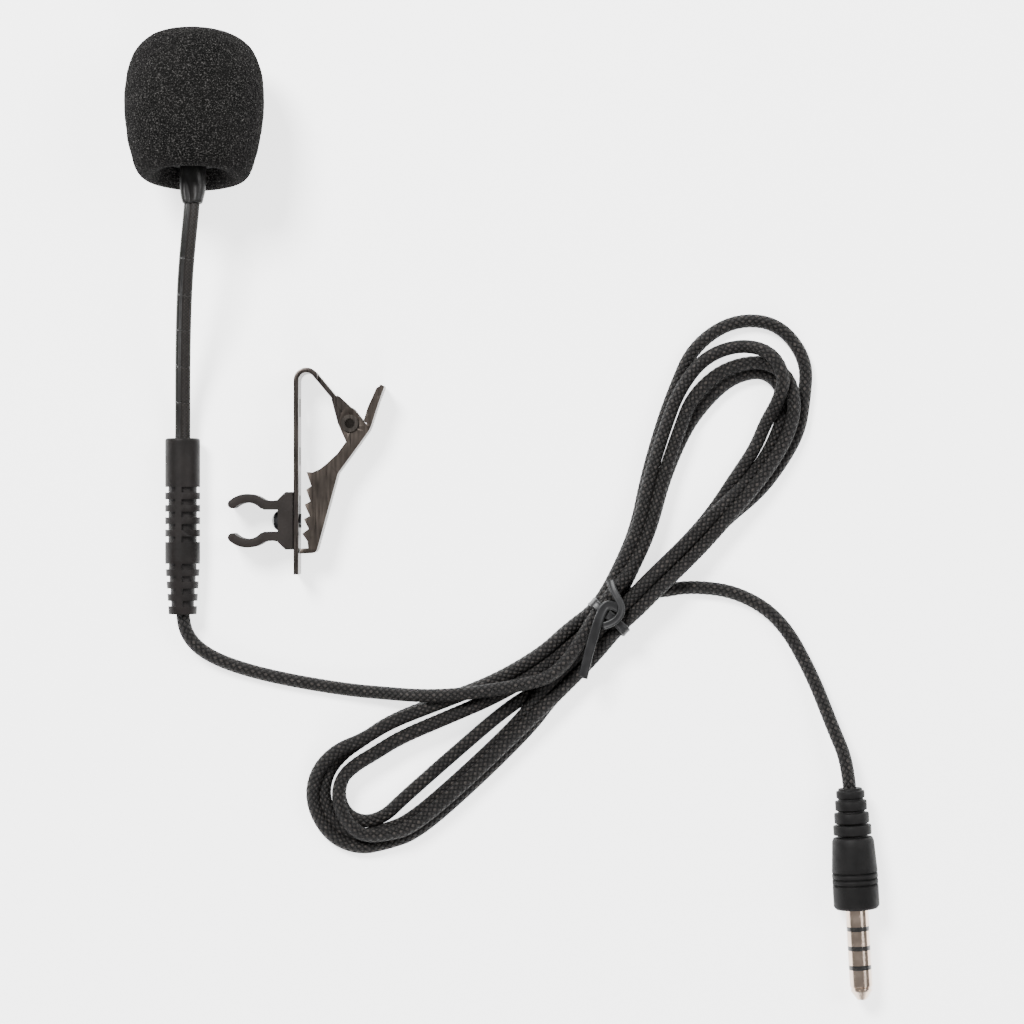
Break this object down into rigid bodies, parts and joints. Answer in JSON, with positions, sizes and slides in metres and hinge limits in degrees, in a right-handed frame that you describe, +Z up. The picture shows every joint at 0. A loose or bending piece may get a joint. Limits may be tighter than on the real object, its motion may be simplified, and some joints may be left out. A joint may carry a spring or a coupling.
{
  "type": "lavalier microphone",
  "caption": "Lapel microphone with foam windscreen, bendable stem, slotted rubber handle, spring clip with handle fork, tied braided cable and four-pole 3.5 mm plug.",
  "frame": {"origin": "on the table, under the middle of the microphone and its clip, the free cable and plug left out", "axes": "+Z up from the table, +Y along the microphone towards the foam windscreen, +X towards the cable hank and plug"},
  "size_m": [0.1161, 0.1491, 0.0218],
  "materials": {
    "foam": "open-cell foam, charcoal, matte",
    "housing_black": "satin moulded plastic",
    "screen_cloth": "fine woven cloth",
    "capsule_aluminium": "drawn, satin",
    "brass": "turned",
    "circuit_board": "glass-fibre board",
    "steel_plate": "punched",
    "inner_plastic": "moulded",
    "gasket_rubber": "moulded",
    "lead_copper": "tinned stranded wire",
    "shrink_tube": "heat-shrunk sleeve, semi-matte",
    "neck_jacket": "woven sleeve beside a coated wire",
    "stay_wire": "annealed steel",
    "grip_rubber": "warm dark grey, matte",
    "cable_braid": "braided herringbone sleeve",
    "tie_plastic": "ribbon with raised edges, semi-gloss",
    "plug_rubber": "soft-touch moulding",
    "contact_nickel": "polished nickel, warm reflections",
    "insulator_black": "moulded ring",
    "gunmetal": "black-nickel plated spring steel",
    "rivet_steel": "rolled hollow rivet, satin",
    "spring_steel": "spring wire",
    "holder_plastic": "fine matte moulding",
    "rivet_black": "glossy black dome head"
  },
  "bodies": {
    "microphone": {"neck_section_0": "neck_jacket", "neck_wire_0": "stay_wire", "grip_boot": "grip_rubber", "splice_ferrule": "brass", "cable_root": "cable_braid", "cable_lead_in": "cable_braid", "cable_hank": "cable_braid", "cable_lead_out": "cable_braid", "twist_tie": "tie_plastic", "plug_boot": "plug_rubber", "plug_core": "inner_plastic", "plug_sleeve": "contact_nickel", "plug_ring_2": "contact_nickel", "plug_ring_1": "contact_nickel", "plug_tip": "contact_nickel", "plug_insulator_1": "insulator_black", "plug_insulator_2": "insulator_black", "plug_insulator_3": "insulator_black"},
    "stem_link_1": {"neck_section_1": "neck_jacket", "neck_wire_1": "stay_wire"},
    "stem_link_2": {"neck_section_2": "neck_jacket", "neck_wire_2": "stay_wire"},
    "stem_link_3": {"neck_section_3": "neck_jacket", "neck_wire_3": "stay_wire"},
    "stem_link_4": {"neck_section_4": "neck_jacket", "neck_wire_4": "stay_wire"},
    "stem_link_5": {"neck_section_5": "neck_jacket", "neck_wire_5": "stay_wire"},
    "mic_head": {"neck_section_6": "neck_jacket", "neck_wire_6": "stay_wire", "neck_collar": "shrink_tube", "head_housing": "housing_black", "head_grille": "housing_black", "dust_screen": "screen_cloth", "capsule_can": "capsule_aluminium", "capsule_diaphragm": "brass", "capsule_backplate": "steel_plate", "capsule_support_ring": "inner_plastic", "capsule_board": "circuit_board", "capsule_gasket": "gasket_rubber", "capsule_leads": "lead_copper"},
    "windscreen": {"foam_windscreen": "foam"},
    "clip": {"clip_base": "gunmetal", "clip_pivot_rivet": "rivet_steel", "clip_spring": "spring_steel", "holder_rivet": "rivet_black"},
    "clip_jaw": {"clip_lever": "gunmetal"},
    "clip_holder": {"holder_fork": "holder_plastic"}
  },
  "joints": [
    {"name": "neck_side_1", "type": "hinge", "parent": "microphone", "child": "stem_link_1", "pos_m": [-0.0116, -0.0146, 0.00295], "axis": [0, 0, 1], "range_deg": [-24, 24]},
    {"name": "neck_lift_1", "type": "hinge", "parent": "stem_link_1", "child": "stem_link_2", "pos_m": [-0.01145, -0.0092, 0.00435], "axis": [1, 0, 0], "range_deg": [-20, 20]},
    {"name": "neck_side_2", "type": "hinge", "parent": "stem_link_2", "child": "stem_link_3", "pos_m": [-0.01115, -0.0038, 0.0066], "axis": [0, 0, 1], "range_deg": [-24, 24]},
    {"name": "neck_lift_2", "type": "hinge", "parent": "stem_link_3", "child": "stem_link_4", "pos_m": [-0.01075, 0.0016, 0.0091], "axis": [1, 0, 0], "range_deg": [-20, 20]},
    {"name": "neck_side_3", "type": "hinge", "parent": "stem_link_4", "child": "stem_link_5", "pos_m": [-0.01025, 0.007, 0.0114], "axis": [0, 0, 1], "range_deg": [-24, 24]},
    {"name": "neck_lift_3", "type": "hinge", "parent": "stem_link_5", "child": "mic_head", "pos_m": [-0.0096, 0.0124, 0.013], "axis": [1, 0, 0], "range_deg": [-20, 20]},
    {"name": "windscreen_slide", "type": "slide", "parent": "mic_head", "child": "windscreen", "axis": [0, 0.9848, -0.1736], "range_m": [0, 0.026]},
    {"name": "clip_lift", "type": "slide", "parent": "microphone", "child": "clip", "axis": [0, 0, 1], "range_m": [0, 0.03]},
    {"name": "jaw_hinge", "type": "hinge", "parent": "clip", "child": "clip_jaw", "pos_m": [0.01447, -0.01537, 0.0031], "axis": [0, 0, 1], "range_deg": [0, 22], "stiffness_Nm_per_rad": 0.06, "springref_deg": -20.05, "deforming": ["clip_spring"]},
    {"name": "holder_swivel", "type": "hinge", "parent": "clip", "child": "clip_holder", "pos_m": [0.0034, -0.0304, 0.0031], "axis": [1, 0, 0], "continuous": true}
  ],
  "couplings": [
    {"joint": "neck_side_2", "follows": "neck_side_1", "ratio": 1},
    {"joint": "neck_lift_2", "follows": "neck_lift_1", "ratio": 1},
    {"joint": "neck_side_3", "follows": "neck_side_1", "ratio": 1},
    {"joint": "neck_lift_3", "follows": "neck_lift_1", "ratio": 1}
  ]
}
